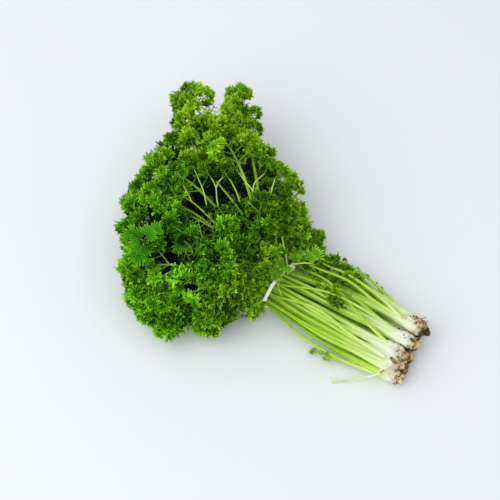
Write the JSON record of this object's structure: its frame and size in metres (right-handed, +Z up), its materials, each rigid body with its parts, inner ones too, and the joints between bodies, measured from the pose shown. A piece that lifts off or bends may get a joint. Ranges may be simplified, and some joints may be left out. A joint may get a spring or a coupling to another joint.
{
  "type": "bunch of curly parsley",
  "caption": "Bunch of curly parsley lying on its side, root crowns still on, stalks held by a narrow flat band and spreading into a domed mass of frilled leaves.",
  "frame": {"origin": "middle of the underside's bounding box, on the surface the bunch lies on", "axes": "+X along the stalks towards the root crowns, +Z up, away from the surface"},
  "size_m": [0.2854, 0.2104, 0.0762],
  "materials": {
    "stalk": "satin",
    "leaf": "matte",
    "tie": "satin"
  },
  "bodies": {
    "root": {"plant_1_stalks": "stalk", "plant_1_leaf_1": "leaf", "plant_1_leaf_2": "leaf", "plant_1_leaf_3": "leaf", "plant_1_leaf_4": "leaf", "plant_2_stalks": "stalk", "plant_2_leaf_1": "leaf", "plant_2_leaf_2": "leaf", "plant_2_leaf_3": "leaf", "plant_3_stalks": "stalk", "plant_3_leaf_1": "leaf", "plant_3_leaf_2": "leaf", "plant_3_leaf_3": "leaf", "plant_3_leaf_4": "leaf", "plant_4_stalks": "stalk", "plant_4_leaf_1": "leaf", "plant_4_leaf_2": "leaf", "plant_4_leaf_3": "leaf", "plant_5_stalks": "stalk", "plant_5_leaf_1": "leaf", "plant_5_leaf_2": "leaf", "plant_5_leaf_3": "leaf", "plant_5_leaf_4": "leaf", "plant_5_leaf_5": "leaf", "plant_5_leaf_6": "leaf", "plant_5_leaf_7": "leaf", "plant_6_stalks": "stalk", "plant_6_leaf_1": "leaf", "plant_6_leaf_2": "leaf", "plant_6_leaf_3": "leaf", "plant_6_leaf_4": "leaf", "plant_6_leaf_5": "leaf", "plant_7_stalks": "stalk", "plant_7_leaf_1": "leaf", "plant_7_leaf_2": "leaf", "plant_7_leaf_3": "leaf", "plant_7_leaf_4": "leaf", "plant_7_leaf_5": "leaf", "plant_8_stalks": "stalk", "plant_8_leaf_1": "leaf", "plant_8_leaf_2": "leaf", "plant_8_leaf_3": "leaf", "plant_8_leaf_4": "leaf", "plant_8_leaf_5": "leaf", "plant_8_leaf_6": "leaf", "plant_8_leaf_7": "leaf", "plant_9_stalks": "stalk", "plant_9_leaf_1": "leaf", "plant_9_leaf_2": "leaf", "plant_9_leaf_3": "leaf", "plant_9_leaf_4": "leaf", "plant_9_leaf_5": "leaf", "plant_9_leaf_6": "leaf", "tie_band": "tie"}
  },
  "joints": []
}
